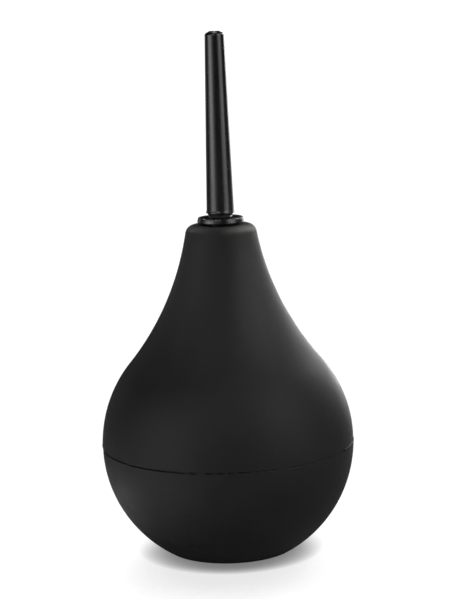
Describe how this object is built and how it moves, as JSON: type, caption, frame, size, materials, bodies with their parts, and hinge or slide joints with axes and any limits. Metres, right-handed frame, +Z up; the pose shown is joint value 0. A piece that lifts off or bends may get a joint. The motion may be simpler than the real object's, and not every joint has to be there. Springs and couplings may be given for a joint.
{
  "type": "dust blower bulb",
  "caption": "Hand-squeezed rubber air bulb, round-bellied with a drawn-in neck, a slim screw-on nozzle on a flanged plug-in stem, and an intake valve in its flat base.",
  "frame": {"origin": "centre of the bulb's flat foot, on the surface it stands on", "axes": "+Z up the common axis of bulb, stem and nozzle, towards the outlet; X and Y are free, since the part is round about Z"},
  "size_m": [0.0806, 0.0806, 0.164],
  "materials": {
    "bulb_rubber": "matt black, very fine grain, soft sheen at the edges",
    "nozzle_plastic": "polished black",
    "seal_rubber": "satin black",
    "valve_plastic": "satin moulded dark grey",
    "flap_rubber": "satin black"
  },
  "bodies": {
    "base": {"bulb_lower": "bulb_rubber", "valve_seat": "valve_plastic", "valve_cage": "valve_plastic"},
    "flap": {"valve_flap": "flap_rubber"},
    "neck": {"bulb_upper": "bulb_rubber"},
    "stem": {"nozzle_stem": "nozzle_plastic"},
    "seal": {"nozzle_seal": "seal_rubber"},
    "nozzle": {"nozzle": "nozzle_plastic"}
  },
  "joints": [
    {"name": "bulb_squeeze", "type": "slide", "parent": "base", "child": "neck", "axis": [0, 0, -1], "range_m": [0, 0.03], "stiffness_N_per_m": 1300, "springref_m": -0.001, "deforming": ["bulb_upper"]},
    {"name": "stem_pull", "type": "slide", "parent": "neck", "child": "stem", "axis": [0, 0, 1], "range_m": [0, 0.018]},
    {"name": "nozzle_lift", "type": "slide", "parent": "stem", "child": "seal", "axis": [0, 0, 1], "range_m": [0, 0.0045]},
    {"name": "nozzle_unscrew", "type": "hinge", "parent": "seal", "child": "nozzle", "pos_m": [0, 0, 0.108], "axis": [0, 0, 1], "range_deg": [0, 1080]},
    {"name": "flap_lift", "type": "slide", "parent": "base", "child": "flap", "axis": [0, 0, 1], "range_m": [0, 0.001]}
  ],
  "couplings": [
    {"joint": "nozzle_unscrew", "follows": "nozzle_lift", "rad_per_m": 4188.8}
  ]
}
